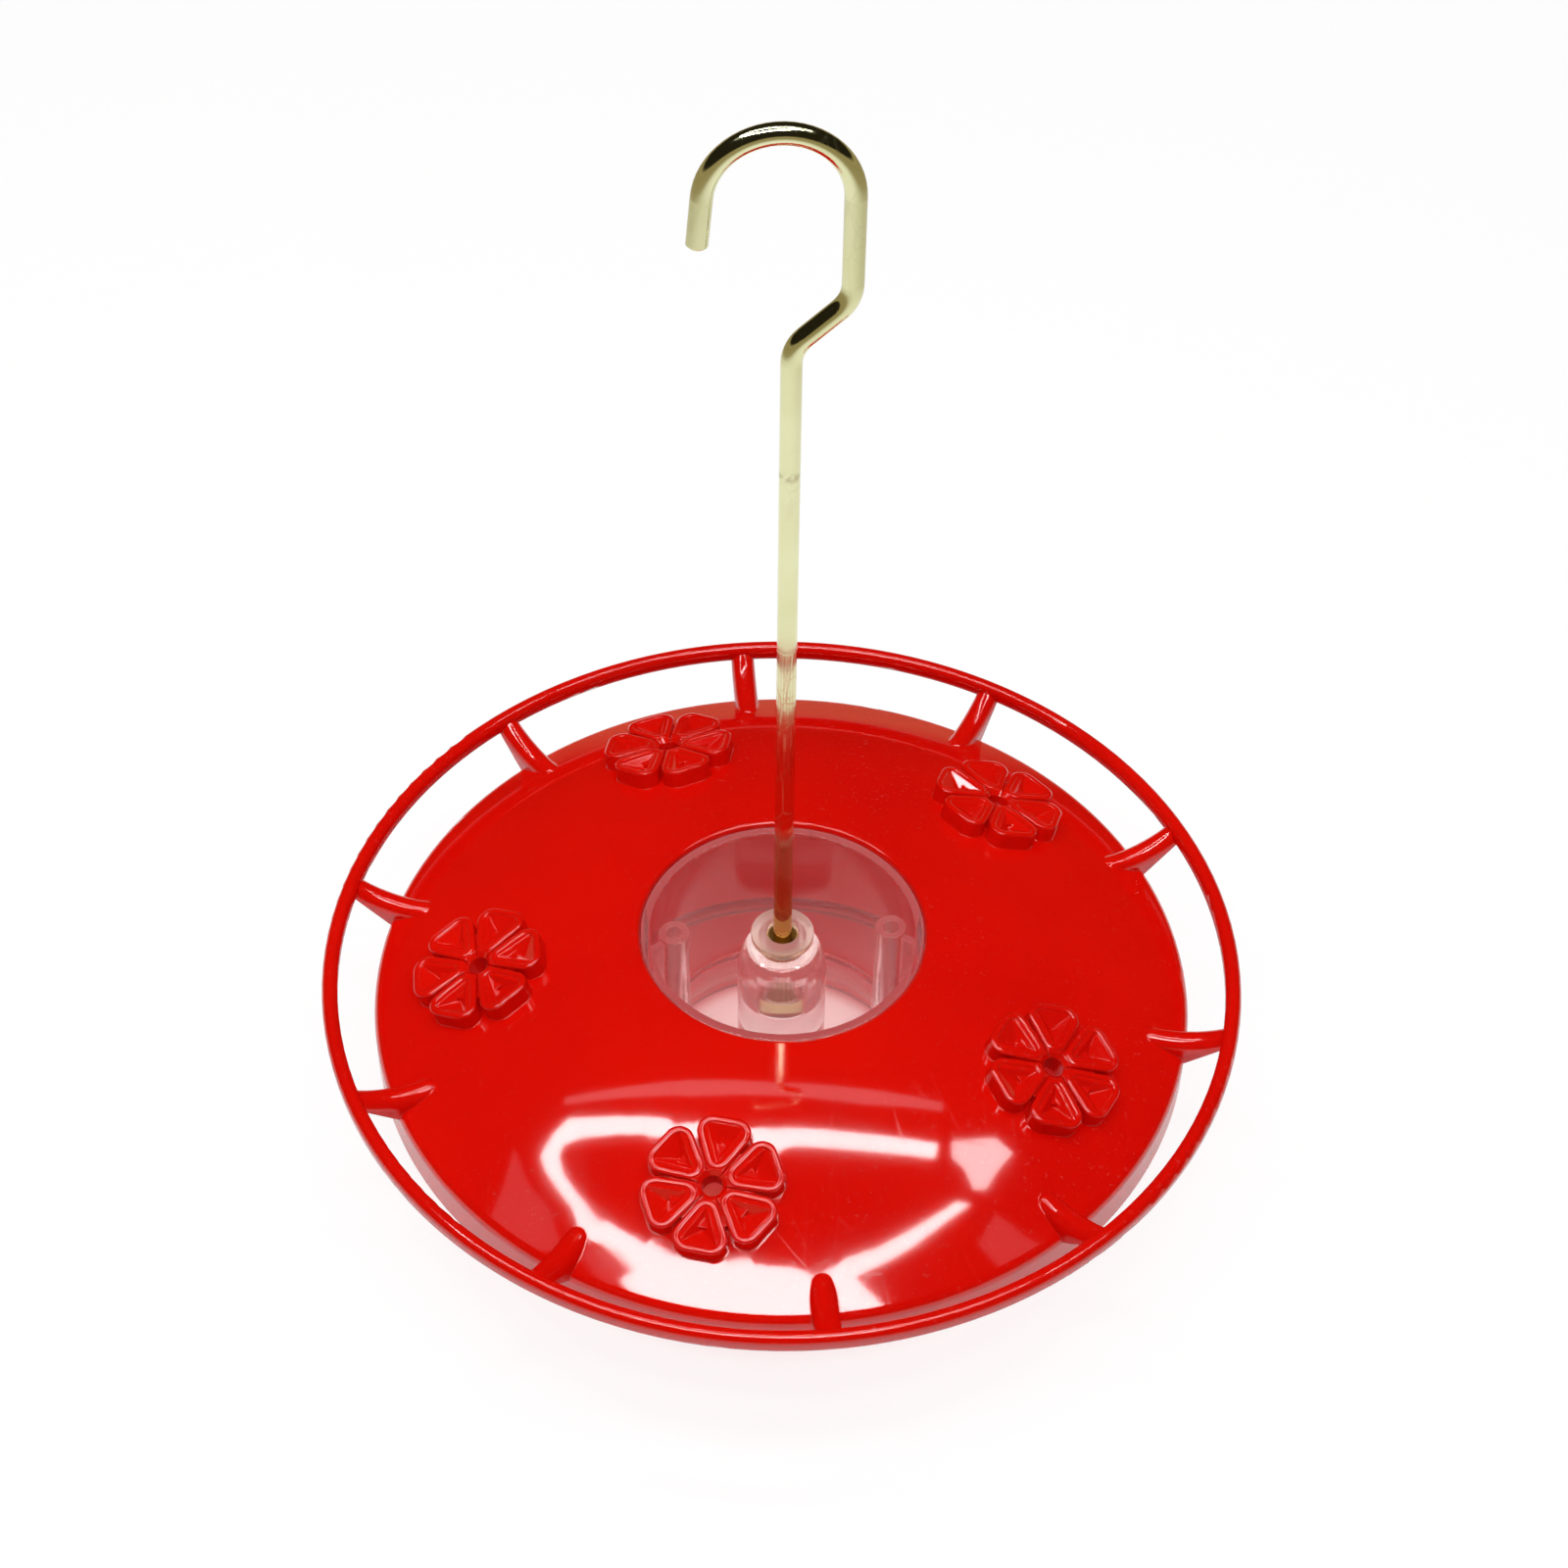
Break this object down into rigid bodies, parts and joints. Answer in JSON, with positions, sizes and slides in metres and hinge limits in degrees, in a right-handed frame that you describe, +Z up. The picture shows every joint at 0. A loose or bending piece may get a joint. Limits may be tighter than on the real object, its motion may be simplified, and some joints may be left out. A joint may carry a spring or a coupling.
{
  "type": "hummingbird feeder",
  "caption": "Hanging saucer nectar feeder: a domed cover with flower ports and a perch ring over a clear dish, on a bent wire hook.",
  "frame": {"origin": "middle of the dish's foot, on the table it stands on; on the hanger rod's axis", "axes": "+Z up along the hanger rod; X along the line of the two screw bosses in the centre well, +X towards the crank of the hook"},
  "size_m": [0.2, 0.2, 0.2559],
  "materials": {
    "red_plastic": "high gloss red moulding",
    "clear_plastic": "clear polycarbonate",
    "brass": "turned brass",
    "plated_wire": "bright brass plating"
  },
  "bodies": {
    "dish": {"bowl": "clear_plastic", "rod_bush": "clear_plastic", "threaded_insert": "brass"},
    "hanger": {"hook_rod": "plated_wire"},
    "lid": {"cover": "red_plastic"}
  },
  "joints": [
    {"name": "cover_lift", "type": "slide", "parent": "dish", "child": "lid", "axis": [0, 0, 1], "range_m": [0, 0.24]},
    {"name": "rod_turn", "type": "hinge", "parent": "dish", "child": "hanger", "pos_m": [0, 0, 0.0519], "axis": [0, 0, 1], "continuous": true}
  ]
}
